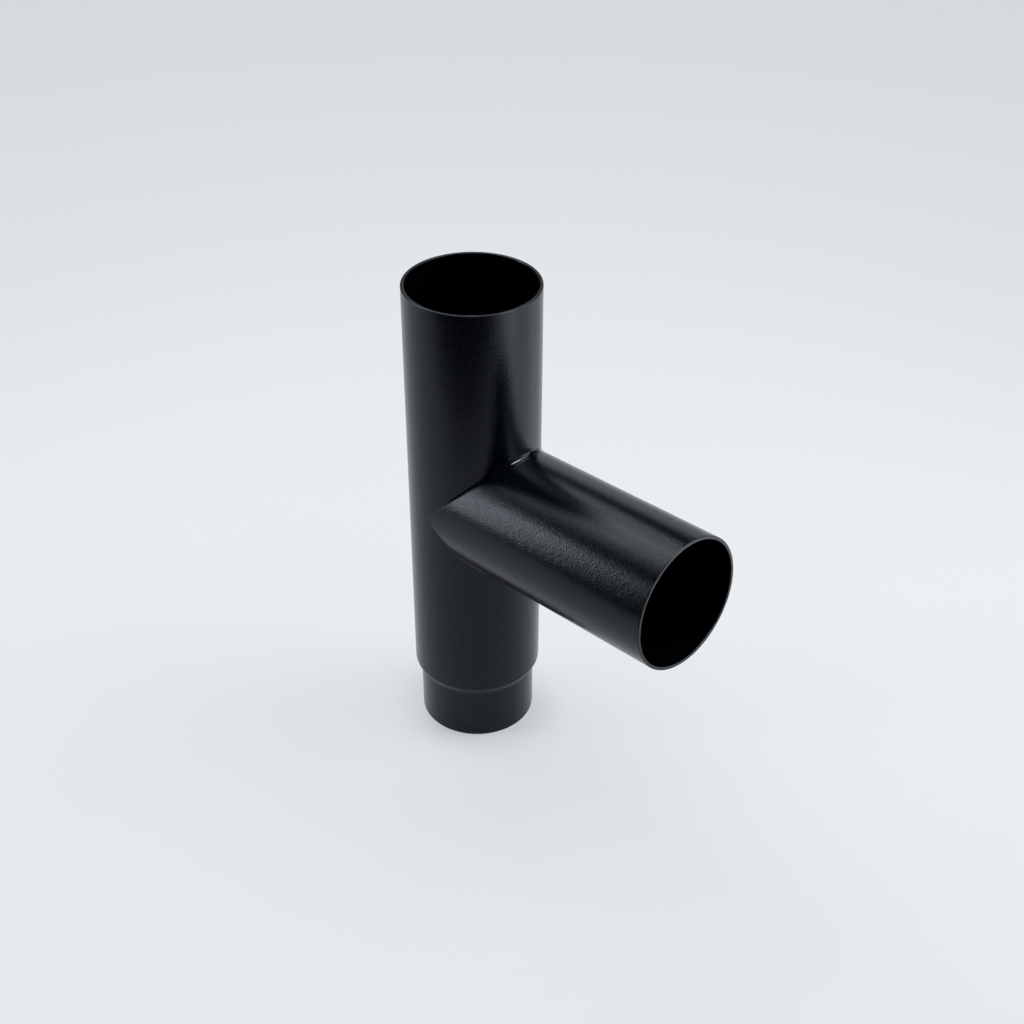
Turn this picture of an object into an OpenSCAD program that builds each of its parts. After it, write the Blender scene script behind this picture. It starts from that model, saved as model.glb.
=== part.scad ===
// Branch for a round downpipe: a straight run of pipe with a reduced spigot at its foot, and a side
// branch of the same pipe mitred into it and welded. Origin on the run's axis at the spigot's end,
// +Z up the run, +X towards the branch.

/* [Pipe] */
// Outer diameter of the run and of the branch
pipe_d = 76; // [60:1:110]
// Wall thickness of both pipes
wall = 2; // [1.2:0.1:3]
// Overall height, from the spigot's end to the rim at the top
height = 292; // [260:1:420]
// Radius on the deburred edges of the three open ends
edge_r = 0.5; // [0.2:0.1:0.6]

/* [Spigot] */
// Length of the spigot, from its end to the shoulder
spigot_len = 33; // [25:1:60]
// Radial clearance of the spigot in the bore of the pipe below
spigot_gap = 1.6; // [0.5:0.1:2]
// Height of the shoulder, over which the pipe draws in to the spigot
shoulder_len = 7.2; // [6:0.1:12]

/* [Branch] */
// Height at which the branch's axis crosses the run's axis
branch_h = 159; // [135:1:190]
// Length of the branch, from the run's axis to the rim of its mouth
branch_reach = 159; // [110:1:220]
// Angle by which the branch rises from the run, in degrees above horizontal
branch_rise = 2.5; // [0:0.5:10]

/* [Weld] */
// Radius of the dressed weld fillet at the top and the bottom of the joint
weld_r = 2.5; // [1.5:0.5:7]
// Hollow of the fillet's face, as a ratio from 0 for a flat face to 1 for one tangent to both pipes
weld_hollow_ratio = 0.8; // [0:0.1:0.8]

/* [Hidden] */
$fn = 144;

coat = "#1b1d20";

pipe_r = pipe_d / 2;
bore_r = pipe_r - wall;
spigot_r = bore_r - spigot_gap;

// The shoulder is an ogee: two equal bends through the same angle, with the same radius outside
bend_angle = 2 * atan((pipe_r - spigot_r) / shoulder_len);
bend_r = shoulder_len / (2 * sin(bend_angle));

// The pipes have one diameter, so they meet in two flat mitres through the point where the axes cross
crossing = [0, 0, branch_h];
branch_axis = [cos(branch_rise), 0, sin(branch_rise)];
upper_mitre = (branch_rise + 90) / 2;
lower_mitre = (branch_rise - 90) / 2;

// The weld fades out where the two pipes come nearly tangent, at the sides of the joint
weld_end_angle = 80;
ring_angle = 2.5;
face_steps = 4;
// Flat facets drawn about this radius just touch the round pipe between two rings
seat_r = pipe_r / cos(ring_angle / 2);

// Section of a straight wall, on the axis' right, from z_low to z_high, where its edges are rounded
module wall_section(inner, outer, z_low, z_high) {
    translate([inner, z_low])
        square([outer - inner, z_high - z_low - edge_r]);
    translate([inner + edge_r, z_low])
        square([outer - inner - 2 * edge_r, z_high - z_low]);
    for (x = [inner + edge_r, outer - edge_r])
        translate([x, z_high - edge_r])
            circle(edge_r);
}

// Section of a wall that bends about the origin, from one direction through an angle
module bend_section(inner, outer, from, angle) {
    far = 2 * outer;
    intersection() {
        difference() {
            circle(outer);
            circle(inner);
        }
        polygon([
            [0, 0],
            far * [cos(from), sin(from)],
            far * [cos(from + angle), sin(from + angle)]
        ]);
    }
}

// Section of the shoulder: the wall bends inwards below the pipe, then back down above the spigot
module shoulder_section() {
    translate([pipe_r - bend_r, spigot_len + shoulder_len])
        bend_section(bend_r - wall, bend_r, -bend_angle, bend_angle);
    translate([spigot_r + bend_r, spigot_len])
        bend_section(bend_r, bend_r + wall, 180 - bend_angle, bend_angle);
}

// Everything on the branch's side of the two mitres
module branch_side() {
    far = 2 * branch_reach;
    translate(crossing)
        rotate([90, 0, 0])
            linear_extrude(2 * pipe_d, center = true)
                polygon([
                    [0, 0],
                    far * [cos(lower_mitre), sin(lower_mitre)],
                    far * [cos(upper_mitre), sin(upper_mitre)]
                ]);
}

// Straight run: plain at the top, reduced to a spigot at the foot, with a notch for the branch
module run_pipe() {
    color(coat)
        difference() {
            rotate_extrude() {
                wall_section(bore_r, pipe_r, spigot_len + shoulder_len, height);
                shoulder_section();
                mirror([0, 1])
                    wall_section(spigot_r - wall, spigot_r, -spigot_len, 0);
            }
            branch_side();
        }
}

// Branch: a plain pipe with a rounded rim at its mouth and two mitres at its root
module branch_pipe() {
    color(coat)
        intersection() {
            translate(crossing)
                rotate([0, 90 - branch_rise, 0])
                    rotate_extrude()
                        wall_section(bore_r, pipe_r, -wall, branch_reach);
            branch_side();
        }
}

// A ball of the weld's radius rolls round the joint. Its centre stays in the mitre, at turn degrees
// round the run from the branch's side, and slope is the mitre's.
function joint_way(turn, slope) = [cos(turn), sin(turn), slope * cos(turn)];
function ball_centre(turn, slope) = crossing + (seat_r + weld_r) * joint_way(turn, slope);
function off_run(turn) = [cos(turn), sin(turn), 0];
function off_branch(way) = way - (way * branch_axis) * branch_axis;

// Directions from the ball's centre to a point of its surface, a share s of the way between two others
function between(a, b, s) =
    let (open = acos(a * b))
    open < 0.01 ? a : (sin((1 - s) * open) * a + sin(s * open) * b) / sin(open);

// One ring of the fillet: its root in the joint, then its face from the run round to the branch
function weld_ring(turn, slope) =
    let (
        way = joint_way(turn, slope),
        centre = ball_centre(turn, slope),
        from_run = off_run(turn),
        from_branch = off_branch(way),
        foot = centre - weld_r * from_run,
        toe = centre - weld_r * from_branch
    )
    concat(
        [crossing + seat_r * way],
        [for (i = [0 : face_steps])
            let (
                s = i / face_steps,
                flat = foot + s * (toe - foot),
                hollow = centre - weld_r * between(from_run, from_branch, s)
            )
            flat + weld_hollow_ratio * (hollow - flat)
        ]
    );

// Fillet along one mitre, from one side of the joint over to the other. The rings follow each other the
// other way round in the lower corner, so that the faces look outwards there too.
module weld_run(slope) {
    rings = [
        for (turn = [-weld_end_angle : ring_angle : weld_end_angle]) weld_ring(-sign(slope) * turn, slope)
    ];
    per_ring = face_steps + 2;
    last = len(rings) - 1;
    points = [for (ring = rings) each ring];
    sides = [
        for (r = [0 : last - 1], p = [0 : per_ring - 1])
            let (
                here = r * per_ring + p,
                beside = r * per_ring + (p + 1) % per_ring
            )
            each [
                [here, beside, beside + per_ring],
                [here, beside + per_ring, here + per_ring]
            ]
    ];
    start_cap = [for (p = [1 : per_ring - 2]) [0, p + 1, p]];
    first = last * per_ring;
    end_cap = [for (p = [1 : per_ring - 2]) [first, first + p, first + p + 1]];
    polyhedron(points, concat(sides, start_cap, end_cap), convexity = 4);
}

// Weld in the upper and in the lower corner of the joint
module weld_fillet() {
    color(coat) {
        weld_run(tan(upper_mitre));
        weld_run(tan(lower_mitre));
    }
}

run_pipe();
branch_pipe();
weld_fillet();
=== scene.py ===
# %% [markdown]
# # A branch for a round downpipe
#
# The real part is a length of 76 mm aluminium pipe with a second pipe mitred into its side. The joint is
# welded and dressed, and the whole piece is powder coated in satin black. The CAD model already has the
# two pipes, so Blender's work is the finish, the dressed weld, the light and the camera.
#
# A part could be modelled again from nothing in Blender. Here the imported model is loaded as a fixed frame
# instead, so that the picture shows exactly the part that was drawn.

# %% Load the imported model
import math

import bpy
from mathutils import Matrix, Vector


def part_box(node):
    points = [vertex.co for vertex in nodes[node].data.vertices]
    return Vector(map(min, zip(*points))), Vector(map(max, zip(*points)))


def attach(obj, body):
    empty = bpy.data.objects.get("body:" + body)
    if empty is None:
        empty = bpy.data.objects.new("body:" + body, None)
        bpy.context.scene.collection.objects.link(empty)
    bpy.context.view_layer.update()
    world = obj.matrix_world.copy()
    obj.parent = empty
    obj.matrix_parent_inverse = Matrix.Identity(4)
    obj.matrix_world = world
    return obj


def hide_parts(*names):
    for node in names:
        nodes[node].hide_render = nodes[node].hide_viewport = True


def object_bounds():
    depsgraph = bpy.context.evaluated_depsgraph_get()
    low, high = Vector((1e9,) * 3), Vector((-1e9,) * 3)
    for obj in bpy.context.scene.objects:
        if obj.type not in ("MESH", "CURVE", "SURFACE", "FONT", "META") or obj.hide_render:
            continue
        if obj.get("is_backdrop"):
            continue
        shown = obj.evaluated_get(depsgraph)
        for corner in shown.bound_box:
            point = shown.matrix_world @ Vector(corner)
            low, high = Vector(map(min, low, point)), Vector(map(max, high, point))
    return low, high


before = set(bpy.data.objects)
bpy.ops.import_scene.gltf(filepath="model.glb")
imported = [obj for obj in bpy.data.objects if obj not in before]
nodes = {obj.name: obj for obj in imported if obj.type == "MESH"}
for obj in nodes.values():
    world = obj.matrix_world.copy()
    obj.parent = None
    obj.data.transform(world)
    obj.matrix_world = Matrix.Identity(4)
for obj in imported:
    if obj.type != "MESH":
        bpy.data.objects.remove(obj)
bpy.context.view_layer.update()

for name, piece in nodes.items():
    low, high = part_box(name)
    size_mm = [round(1000 * (high[i] - low[i]), 1) for i in range(3)]
    print(f"{name}: {len(piece.data.polygons)} faces, {size_mm} mm")

# %% [markdown]
# ## Two helpers
#
# Colours are written as sRGB hex values, the way a paint chart or a picture editor gives them. Blender
# works with linear light, so one function converts them.
#
# A procedural material is a small network of nodes. One function adds a node, sets its options, and fills
# or links its inputs, so that a material reads as a list of what it is made of.

# %% Colours and nodes
def linear(hex_code, alpha=1.0):
    """An sRGB hex colour as linear RGBA."""
    channels = [int(hex_code[i:i + 2], 16) / 255 for i in (1, 3, 5)]
    return [c / 12.92 if c <= 0.04045 else ((c + 0.055) / 1.055) ** 2.4 for c in channels] + [alpha]


def add(tree, kind, inputs=None, **settings):
    """Adds a node. inputs gives each input socket, by name or number, a value or another node's output."""
    made = tree.nodes.new(kind)
    for name, value in settings.items():
        setattr(made, name, value)
    for socket, value in (inputs or {}).items():
        if isinstance(value, bpy.types.NodeSocket):
            tree.links.new(value, made.inputs[socket])
        else:
            made.inputs[socket].default_value = value
    return made


MM = 0.001
print("pale grey #d8dce0 is", [round(c, 3) for c in linear("#d8dce0")])

# %% [markdown]
# ## Camera
#
# The camera looks down at 35 degrees, and the branch points half towards it and half to its right. A 54 mm
# lens on a 36 mm sensor keeps the perspective gentle, as in a catalogue picture. A camera could be aimed
# by hand or made to track the part. This one's place was found by matching the rims' ellipses and the
# pipes' edges, so it is given in numbers.

# %% Place the camera
camera_at = Vector((0.5364, -0.50107, 0.66096))
look_along = Vector((-0.58087, 0.57529, -0.57587)).normalized()
roll = math.radians(0.1)

camera_data = bpy.data.cameras.new("catalogue_camera")
camera_data.lens, camera_data.sensor_width = 54.1, 36
camera_data.clip_start, camera_data.clip_end = 0.05, 60
camera = bpy.data.objects.new("catalogue_camera", camera_data)
bpy.context.scene.collection.objects.link(camera)
upright = look_along.to_track_quat("-Z", "Y").to_matrix()
camera.matrix_world = Matrix.Translation(camera_at) @ (upright @ Matrix.Rotation(roll, 3, "Z")).to_4x4()
bpy.context.scene.camera = camera
print("camera looks down", round(math.degrees(math.asin(-look_along.z)), 1), "degrees")

# %% [markdown]
# ## Powder coat
#
# Powder coat is a dry plastic powder that is sprayed on and baked until it flows out. This one is a satin
# black with a fine texture: a dense leathery grain, about half a millimetre from crest to crest and a few
# hundredths deep. It gives the eye soft highlights whose edges break up into sparkling grains.
#
# The grain could be real geometry, but at this depth only its slope shows, so a bump is right. Two noises
# make it: a fine one for the grain, and a slow ripple for the way a thick coat flows, which painters call
# orange peel. Both are in object space, in metres, so they have one size on both pipes. The real grain
# would be finer than a pixel here, so it is drawn twice as coarse, with the same slopes.

# %% Values of the coat
PIT_SHADE, CREST_LIGHT = "#000104", "#0b1118"   # painted shade in the grain's pits and painted light on its crests, over a jet black pigment
COAT_ROUGHNESS = 0.21     # satin
WELD_ROUGHNESS = 0.14     # dressed smooth, so the coat flows out glossier there
WELD_GRAIN = 0.4          # and its grain is shallower
COAT_SPECULAR = 0.26      # a resin's usual 0.5 is cut back, because the grain's pits shade each other
COAT_GLINT = "#e7f1fc"    # the gloss of a blue-black
GRAIN_PITCH = 1.00 * MM   # crest to crest, coarser than the real one so that it shows
GRAIN_DEPTH = 0.105 * MM  # deeper by as much, which keeps the slopes
GRAIN_SHADE_TO_LIGHT = 0.4, 0.6   # heights of the noise between which the painted shade of a pit turns into the painted light of a crest
FLOW_PITCH = 4.5 * MM     # the orange peel
FLOW_DEPTH = 0.05 * MM
print("grain", round(GRAIN_PITCH / MM, 2), "mm, flow", round(FLOW_PITCH / MM, 2), "mm")

# %% [markdown]
# ### Inside and rims
#
# Inside the pipes the gloss is taken away and the colour is near black: painted shade for the dark inside the
# pipes. The rims are painted greyer: a painted highlight along the cut edges. Each could be a material of its
# own on chosen faces, but then a change to the pipes would mean choosing again. Here the material finds both
# by itself: inside, the surface's normal points at the pipe's own axis, and on a rim it points along that
# axis.

# %% Masks for the inside and the rims
# painted highlight along the rims' cut edges
RIM_HIGHLIGHT = "#26292d"
RIM_TURN = 0.3, 0.8       # share of the normal along the pipe where the rim begins and where it is full
INSIDE_SHADE = "#010101"
INSIDE_TURN = -0.75       # an inside normal points at the axis, so with the way outwards it gives about -1
INSIDE_SHADE_SHARE = 0.75      # how much of the inside is painted shade, near black and bare of gloss


def pipe_masks(tree, place, normal, axis_point, axis):
    """Masks for a pipe's inside, with normals towards its axis, and for its rim, with normals along it."""
    offset = add(tree, "ShaderNodeVectorMath", {0: place, 1: axis_point}, operation="SUBTRACT").outputs[0]
    along = add(tree, "ShaderNodeVectorMath", {0: offset, 1: axis}, operation="DOT_PRODUCT").outputs["Value"]
    foot = add(tree, "ShaderNodeVectorMath", {0: axis, "Scale": along}, operation="SCALE").outputs[0]
    radial = add(tree, "ShaderNodeVectorMath", {0: offset, 1: foot}, operation="SUBTRACT").outputs[0]
    radial = add(tree, "ShaderNodeVectorMath", {0: radial}, operation="NORMALIZE").outputs[0]
    outwards = add(tree, "ShaderNodeVectorMath", {0: radial, 1: normal}, operation="DOT_PRODUCT")
    endwards = add(tree, "ShaderNodeVectorMath", {0: axis, 1: normal}, operation="DOT_PRODUCT")
    inside = add(tree, "ShaderNodeMath", {0: outwards.outputs["Value"], 1: INSIDE_TURN},
                 operation="LESS_THAN")
    rim = add(tree, "ShaderNodeMapRange", {
        "Value": endwards.outputs["Value"], "From Min": RIM_TURN[0], "From Max": RIM_TURN[1]})
    return inside.outputs[0], rim.outputs[0]


print("the rim begins at", RIM_TURN[0], "and is full at", RIM_TURN[1], "of the normal along the pipe")

# %% [markdown]
# ### The coat on the pipes
#
# One function makes the coat. It is used three times, because each pipe has an axis of its own and the
# weld has none. The two CAD pipes keep their meshes and only get the new material in their slots.

# %% Powder coat material
def powder_coat(name, axis_point=None, axis=None, roughness=COAT_ROUGHNESS, relief=1.0):
    """Textured satin black powder coat, with painted shade in its grain's pits and painted light on the
    crests. Round a given axis it has painted shade inside and a painted highlight on the rim.
    """
    material = bpy.data.materials.new(name)
    material.use_nodes = True
    tree = material.node_tree
    tree.nodes.clear()
    coordinates = add(tree, "ShaderNodeTexCoord")
    place, normal = coordinates.outputs["Object"], coordinates.outputs["Normal"]
    flow = add(tree, "ShaderNodeTexNoise", {"Vector": place, "Scale": 1 / FLOW_PITCH, "Detail": 1.0})
    grain = add(tree, "ShaderNodeTexNoise", {
        "Vector": place, "Scale": 1 / GRAIN_PITCH, "Detail": 1.0, "Roughness": 0.6})
    ripple = add(tree, "ShaderNodeBump", {
        "Height": flow.outputs[0], "Strength": 1.0, "Distance": FLOW_DEPTH})
    skin = add(tree, "ShaderNodeBump", {
        "Height": grain.outputs[0], "Strength": 1.0, "Distance": relief * GRAIN_DEPTH,
        "Normal": ripple.outputs[0]})
    # the grain's colour: painted shade in its pits, painted light on its crests
    lit_crest = add(tree, "ShaderNodeMapRange", {
        "Value": grain.outputs[0], "From Min": GRAIN_SHADE_TO_LIGHT[0], "From Max": GRAIN_SHADE_TO_LIGHT[1]}).outputs[0]
    colour = add(tree, "ShaderNodeMix", {0: lit_crest, 6: linear(PIT_SHADE), 7: linear(CREST_LIGHT)},
                 data_type="RGBA").outputs[2]
    gloss = add(tree, "ShaderNodeBsdfPrincipled", {
        "Base Color": colour, "Roughness": roughness, "Specular IOR Level": COAT_SPECULAR,
        "Specular Tint": linear(COAT_GLINT), "Normal": skin.outputs[0]})
    surface = gloss.outputs[0]
    if axis:
        inside, rim = pipe_masks(tree, place, normal, axis_point, axis)
        # painted highlight on the rims
        colour = add(tree, "ShaderNodeMix", {0: rim, 6: colour, 7: linear(RIM_HIGHLIGHT)}, data_type="RGBA").outputs[2]
        tree.links.new(colour, gloss.inputs["Base Color"])
        # painted shade inside the pipes: a near black matt in place of the gloss
        inside_shade_matt = add(tree, "ShaderNodeBsdfDiffuse", {"Color": linear(INSIDE_SHADE)})
        shade_share = add(tree, "ShaderNodeMath", {0: inside, 1: INSIDE_SHADE_SHARE}, operation="MULTIPLY").outputs[0]
        surface = add(tree, "ShaderNodeMixShader", {0: shade_share, 1: surface, 2: inside_shade_matt.outputs[0]}).outputs[0]
    add(tree, "ShaderNodeOutputMaterial", {"Surface": surface})
    return material


RISE = math.radians(2.5)
CROSSING = Vector((0, 0, 159 * MM))
BRANCH_AXIS = Vector((math.cos(RISE), 0, math.sin(RISE)))
coats = {
    "run_pipe": powder_coat("powder_coat_run", (0, 0, 0), (0, 0, 1)),
    "branch_pipe": powder_coat("powder_coat_branch", tuple(CROSSING), tuple(BRANCH_AXIS)),
    "weld_fillet": powder_coat("powder_coat_weld", roughness=WELD_ROUGHNESS, relief=WELD_GRAIN),
}
for name, coat in coats.items():
    for holder in nodes[name].material_slots:
        holder.material = coat
    print(f"{name}: {coat.name}, {len(coat.node_tree.nodes)} nodes")

# %% [markdown]
# ## Weld
#
# The joint is welded all round and then dressed with an abrasive drum, which leaves a hollow fillet that
# is never quite even: it waves a little from each pass of the torch and each touch of the drum. It is
# widest in the crotch above the branch, and thins out to nothing where the two pipes are tangent.
#
# The CAD model has this fillet in flat facets. A bevel along the joint could make it smoother, but it would
# change the pipes' own meshes. So the same sweep is made again in finer rings, with the small waves pressed
# in and smooth shading, and it takes the CAD fillet's place. A ball rolls along the joint: its centre keeps
# to the mitre plane, and the fillet's face is the chord between its two points of contact, hollowed part of
# the way towards the ball. The drum stops short of the branch and leaves a thin ridge of weld standing
# along that toe.

# %% One ring of the weld
from mathutils import noise

PIPE_R = 38 * MM
WELD_R = 2.5 * MM
ROOT_DEPTH = 0.4 * MM  # the root lies this deep in the joint
HOLLOW = 0.85         # 0 is a flat face, 1 the ball's own
WAVE_PITCH = 7 * MM
WAVE_DEPTH = 0.1 * MM
SINK = 0.05 * MM      # how far the toes lie under the pipes' skin
RIDGE = 0.22 * MM     # height of the ridge along the branch's toe
RIDGE_AT, RIDGE_SPAN = 0.86, 0.09     # shares of the face's width
FADE_FROM = 60        # degrees round the run from which the waves and the ridge die out
FACE_STEPS = 24


def slerp(a, b, share):
    """A direction a share of the way round from a to b."""
    open_angle = a.angle(b)
    if open_angle < 1e-4:
        return a
    return (math.sin((1 - share) * open_angle) * a + math.sin(share * open_angle) * b) / math.sin(open_angle)


def weld_ring(turn, slope):
    """The fillet's root, then its face from the run's side to the branch's, at turn degrees round the run."""
    t = math.radians(turn)
    way = Vector((math.cos(t), math.sin(t), slope * math.cos(t)))
    from_run = Vector((math.cos(t), math.sin(t), 0))
    from_branch = (way - way.dot(BRANCH_AXIS) * BRANCH_AXIS).normalized()
    centre = CROSSING + (PIPE_R + WELD_R) * way
    foot, toe = centre - WELD_R * from_run, centre - WELD_R * from_branch
    middle = (from_run + from_branch).normalized()
    ring = [CROSSING + (PIPE_R - ROOT_DEPTH) * way]
    for i in range(FACE_STEPS + 1):
        share = i / FACE_STEPS
        flat = foot.lerp(toe, share)
        hollow = centre - WELD_R * slerp(from_run, from_branch, share)
        point = flat.lerp(hollow, HOLLOW)
        bulge = math.sin(math.pi * share)
        fade = min(1, math.cos(t) / math.cos(math.radians(FADE_FROM)))
        wave = WAVE_DEPTH * fade * bulge * noise.noise(point / WAVE_PITCH) - SINK * (1 - bulge * fade)
        ridge = RIDGE * fade * math.exp(-((share - RIDGE_AT) / RIDGE_SPAN) ** 2)
        ring.append(point + (wave + ridge) * middle)
    return ring


print("a ring has", FACE_STEPS + 2, "points")

# %% Dressed weld
RING_TURN, WELD_END = 1.0, 87         # degrees round the run
SHARP = math.radians(50)              # only edges that turn by more than this are drawn sharp


def weld_mesh():
    """The fillets above and below the branch, each a tube of rings with closed ends."""
    points, faces, per_ring = [], [], FACE_STEPS + 2
    for slope in (math.tan((RISE + math.pi / 2) / 2), math.tan((RISE - math.pi / 2) / 2)):
        first, steps = len(points), int(2 * WELD_END / RING_TURN)
        way_round = -1 if slope > 0 else 1
        for k in range(steps + 1):
            points += weld_ring(way_round * (-WELD_END + k * RING_TURN), slope)
        for k in range(steps):
            for p in range(per_ring):
                here, beside = first + k * per_ring + p, first + k * per_ring + (p + 1) % per_ring
                faces.append([here, beside, beside + per_ring, here + per_ring])
        faces.append([first + p for p in reversed(range(per_ring))])
        faces.append([first + steps * per_ring + p for p in range(per_ring)])
    mesh = bpy.data.meshes.new("dressed_weld")
    mesh.from_pydata(points, [], faces)
    mesh.validate()
    mesh.shade_smooth()
    mesh.set_sharp_from_angle(angle=SHARP)
    return mesh


weld = bpy.data.objects.new("dressed_weld", weld_mesh())
bpy.context.scene.collection.objects.link(weld)
weld.data.materials.append(coats["weld_fillet"])
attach(weld, "root")
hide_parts("weld_fillet")
print("weld:", len(weld.data.polygons), "faces")

# %% [markdown]
# ## Floor
#
# The part stands on a plain pale sweep, as in a photographer's studio. A sweep could curve up behind the
# part, but a large flat disc is enough, because the camera looks down and never sees its edge.

# %% Floor
FLOOR_RADIUS, FLOOR_STEPS = 9.0, 96

floor_mesh = bpy.data.meshes.new("floor")
turns = [2 * math.pi * i / FLOOR_STEPS for i in range(FLOOR_STEPS)]
ring = [(FLOOR_RADIUS * math.cos(turn), FLOOR_RADIUS * math.sin(turn), 0) for turn in turns]
floor_mesh.from_pydata(ring, [], [list(range(FLOOR_STEPS))])
floor = bpy.data.objects.new("floor", floor_mesh)
bpy.context.scene.collection.objects.link(floor)
floor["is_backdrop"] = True
print("floor", FLOOR_RADIUS, "m in radius")

# %% [markdown]
# ### Floor paint
#
# Real studio light falls off over a floor, and a picture of a black part would need the floor evened out.
# So the floor is two things in one: matt paint, which carries the part's soft shadow, and a pale backdrop,
# which only the camera and the reflections see. The backdrop has a painted falloff of light: it is paler near
# the part and darker away from it. Light that the floor throws on the part still comes from the matt paint
# alone. Far from the part only the backdrop is left.

# %% Floor paint
FLOOR = "#f3f3f3"        # matt emulsion paint
# painted falloff of light: the backdrop is paler near the part and darker away from it
BACKDROP_NEAR, BACKDROP_FALLOFF_FAR = "#e3e7ea", "#d6d9de"
DARKENS = 0.2, 1.6       # metres from the part between which the backdrop's painted falloff of light turns it from near to far
EVENED = 0.72            # how much of the floor near the part is backdrop
ALL_BACKDROP = 0.25, 0.9  # metres between which that grows to all of it
AT_FOOT = 0.6            # the share of it just round the foot, where the shadow is left darker
FOOT = 0.034, 0.065      # metres between which that ends


def light_path(tree):
    """1 for rays that show the backdrop: from the camera, off glossy surfaces or through clear ones."""
    rays = add(tree, "ShaderNodeLightPath").outputs
    mirrored = add(tree, "ShaderNodeMath", {0: rays["Is Camera Ray"], 1: rays["Is Glossy Ray"]},
                   operation="MAXIMUM")
    return add(tree, "ShaderNodeMath", {0: mirrored.outputs[0], 1: rays["Is Transmission Ray"]},
               operation="MAXIMUM").outputs[0]


floor_paint = bpy.data.materials.new("matt_studio_floor")
floor_paint.use_nodes = True
tree = floor_paint.node_tree
tree.nodes.clear()
matt = add(tree, "ShaderNodeBsdfDiffuse", {"Color": linear(FLOOR)})
place = add(tree, "ShaderNodeTexCoord").outputs["Object"]
away = add(tree, "ShaderNodeVectorMath", {0: place}, operation="LENGTH").outputs["Value"]
fade = add(tree, "ShaderNodeMapRange", {
    "Value": away, "From Min": ALL_BACKDROP[0], "From Max": ALL_BACKDROP[1], "To Min": EVENED, "To Max": 1.0},
    interpolation_type="SMOOTHSTEP").outputs[0]
at_foot = add(tree, "ShaderNodeMapRange", {
    "Value": away, "From Min": FOOT[0], "From Max": FOOT[1], "To Min": AT_FOOT},
    interpolation_type="SMOOTHSTEP").outputs[0]
fade = add(tree, "ShaderNodeMath", {0: fade, 1: at_foot}, operation="MULTIPLY").outputs[0]
falloff_share = add(tree, "ShaderNodeMapRange", {"Value": away, "From Min": DARKENS[0], "From Max": DARKENS[1]},
            interpolation_type="SMOOTHSTEP").outputs[0]
backdrop_with_falloff = add(tree, "ShaderNodeMix", {0: falloff_share, 6: linear(BACKDROP_NEAR), 7: linear(BACKDROP_FALLOFF_FAR)},
           data_type="RGBA").outputs[2]
backdrop = add(tree, "ShaderNodeEmission", {"Color": backdrop_with_falloff, "Strength": 1.0})
seen = add(tree, "ShaderNodeMath", {0: light_path(tree), 1: fade}, operation="MULTIPLY").outputs[0]
both = add(tree, "ShaderNodeMixShader", {0: seen, 1: matt.outputs[0], 2: backdrop.outputs[0]})
add(tree, "ShaderNodeOutputMaterial", {"Surface": both.outputs[0]})
floor_mesh.materials.append(floor_paint)
print("backdrop is", round(100 * EVENED), "% of the floor near the part, and all of it far away")

# %% [markdown]
# ## Black cloth
#
# What makes a glossy black part look black is that most of what it mirrors is dark. In a studio the walls
# and the ceiling stay unlit, and the photographer lays black cloth on the floor on the camera's side. Here
# one mesh does both: a tent of cloth round the whole set, and a wide strip of it on the floor. The strip is
# turned a little to the camera's left, which darkens the line under the branch's bright band near the
# mouth.
#
# A darker floor and world would do it too, but they would show in the picture. Only reflections see the
# cloth. It takes no light from anything matt, and the camera sees the pale floor and backdrop straight
# through it.

# %% Cloth tent
CLOTH = "#060607"        # black felt, which gives back next to no light
TENT_WIDTH, TENT_HEIGHT = 5.0, 3.0
CLOTH_FROM = 0.38        # metres from the part at which the cloth on the floor starts
STRIP_Z, WALL_Z = 0.001, 0.002      # just clear of the floor, and of each other
outwards = Vector((0.545, -0.839, 0))       # to the camera and a little to its left
across = Vector((0.839, 0.545, 0))

half = TENT_WIDTH / 2
corners = (-half, -half), (half, -half), (half, half), (-half, half)
walls = [Vector((x, y, z)) for z in (WALL_Z, TENT_HEIGHT) for x, y in corners]
strip = [u * outwards + v * across + Vector((0, 0, STRIP_Z))
         for u, v in ((CLOTH_FROM, -half), (half, -half), (half, half), (CLOTH_FROM, half))]
tent_faces = [[0, 1, 5, 4], [1, 2, 6, 5], [2, 3, 7, 6], [3, 0, 4, 7], [4, 5, 6, 7]]
cloth_mesh = bpy.data.meshes.new("black_cloth")
cloth_mesh.from_pydata(walls + strip, [], tent_faces + [[8, 9, 10, 11]])
cloth = bpy.data.objects.new("black_cloth", cloth_mesh)
bpy.context.scene.collection.objects.link(cloth)
cloth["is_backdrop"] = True
cloth.visible_camera = cloth.visible_diffuse = cloth.visible_shadow = False
black = bpy.data.materials.new("black_cloth")
black.use_nodes = True
black.node_tree.nodes.clear()
felt = add(black.node_tree, "ShaderNodeBsdfDiffuse", {"Color": linear(CLOTH)})
add(black.node_tree, "ShaderNodeOutputMaterial", {"Surface": felt.outputs[0]})
cloth_mesh.materials.append(black)
print("cloth tent", TENT_WIDTH, "by", TENT_WIDTH, "by", TENT_HEIGHT, "m")

# %% [markdown]
# ## Soft light
#
# A glossy black part shows almost nothing but reflections, so the lamps are placed for what they draw on
# it. Softboxes stand all round the back, which leaves the side towards the camera dark. A tall strip low
# on the left draws the bright band along the branch, and the softboxes overhead draw the softer ones.
#
# Two more kinds of light help. A large overhead panel isn't seen in reflections: it lights matt surfaces
# and evens out the floor. White cards do the opposite, and only show in reflections. Four small ones beside
# the foot draw the pale edge down the run below the branch, and a bright one above draws the glint in the
# hollow of the weld.
#
# A lamp's brightness is given as the light that its face shows, where 1 is the white of the picture. The
# power follows from that and from its area.

# %% Softboxes
TARGET = Vector((0.05, 0, 0.16))
LAMP = "#f7fbff"        # daylight
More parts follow.
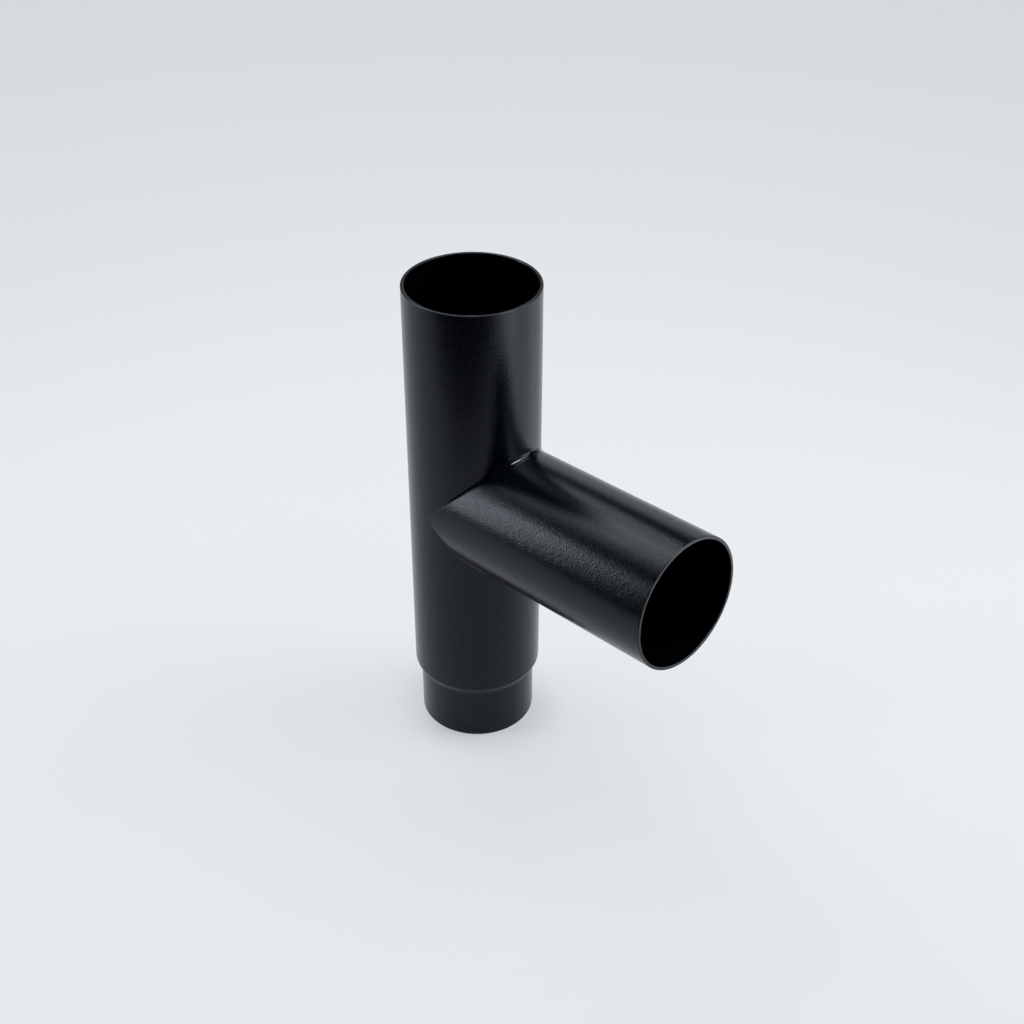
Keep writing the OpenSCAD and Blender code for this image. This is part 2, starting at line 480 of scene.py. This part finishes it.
# azimuth from +X towards +Y and elevation in degrees, distance, width and height in metres, brightness
SOFTBOXES = {
    "left_strip": (228, 14, 1.25, 0.22, 0.66, 8.0),
    "left_low": (215, -4, 1.1, 0.50, 0.12, 7.5),
    "left_high": (217, 30, 1.25, 0.60, 0.25, 2.3),
    "top_left": (200, 50, 1.3, 0.45, 0.45, 1.9),
    "top": (176, 54, 1.3, 0.55, 0.55, 3.2),
    "top_back": (148, 50, 1.3, 0.55, 0.55, 2.4),
    "back": (124, 12, 1.3, 0.60, 0.50, 0.85),
    "right": (50, 12, 0.8, 0.40, 0.40, 2.9),
    "right_high": (50, 45, 1.3, 0.80, 0.80, 4.2),
}
OVERHEAD = {"overhead": (135, 88, 1.6, 1.60, 1.60, 1.65)}
CARDS = {
    "weld_card": (21, 46, 1.3, 0.52, 0.34, 30.0),
    "card_right": (18, -8, 0.45, 0.22, 0.26, 1.67),
    "card_inner": (30, -8, 0.32, 0.16, 0.20, 0.61),
    "card_front": (0, -8, 0.45, 0.20, 0.26, 0.66),
    "card_low": (60, -15, 0.30, 0.25, 0.20, 0.47),
}


def lamp(name, azimuth, elevation, distance, width, height, brightness):
    """A rectangular area lamp that faces the part, hidden from the camera."""
    a, e = math.radians(azimuth), math.radians(elevation)
    towards = Vector((math.cos(a) * math.cos(e), math.sin(a) * math.cos(e), math.sin(e)))
    data = bpy.data.lights.new(name, "AREA")
    data.shape, data.size, data.size_y = "RECTANGLE", width, height
    data.energy = math.pi * width * height * brightness
    data.color = linear(LAMP)[:3]
    made = bpy.data.objects.new(name, data)
    made.visible_camera = False
    made.location = TARGET + distance * towards
    made.rotation_mode = "QUATERNION"
    made.rotation_quaternion = towards.to_track_quat("Z", "Y")
    bpy.context.scene.collection.objects.link(made)
    print(f"{name}: {data.energy:.2f} W")
    return made


for name, place in SOFTBOXES.items():
    lamp(name, *place)
for name, place in OVERHEAD.items():
    lamp(name, *place).visible_glossy = False
for name, place in CARDS.items():
    lamp(name, *place).visible_diffuse = False

# %% [markdown]
# ## World
#
# A pale world could light the part by itself, but a glossy black part would then turn grey all over. So
# the world is almost dark to matt surfaces, and the softboxes light the part. Beyond the floor's edge it
# shows the same pale colour as the backdrop does there, so that a low view has no horizon.

# %% World
ROOM_LIGHT = 0.01
world = bpy.data.worlds.new("studio")
bpy.context.scene.world = world
world.use_nodes = True
world.node_tree.nodes.clear()
room = add(world.node_tree, "ShaderNodeBackground", {"Color": linear("#ffffff"), "Strength": ROOM_LIGHT})
beyond = add(world.node_tree, "ShaderNodeBackground", {"Color": linear(BACKDROP_FALLOFF_FAR), "Strength": 1.0})
shown = add(world.node_tree, "ShaderNodeMixShader", {
    0: light_path(world.node_tree), 1: room.outputs[0], 2: beyond.outputs[0]})
add(world.node_tree, "ShaderNodeOutputWorld", {"Surface": shown.outputs[0]})
bpy.context.scene.view_settings.view_transform = "Standard"
print("world:", ROOM_LIGHT, "on matt surfaces,", BACKDROP_FALLOFF_FAR, "to the camera")

# %% [markdown]
# ## Measure
#
# The picture has to show the part at its true size. The box round everything visible is measured again and
# printed in millimetres.

# %% Measure
low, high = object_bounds()
print("box in mm:", [round(1000 * (high[i] - low[i]), 1) for i in range(3)])
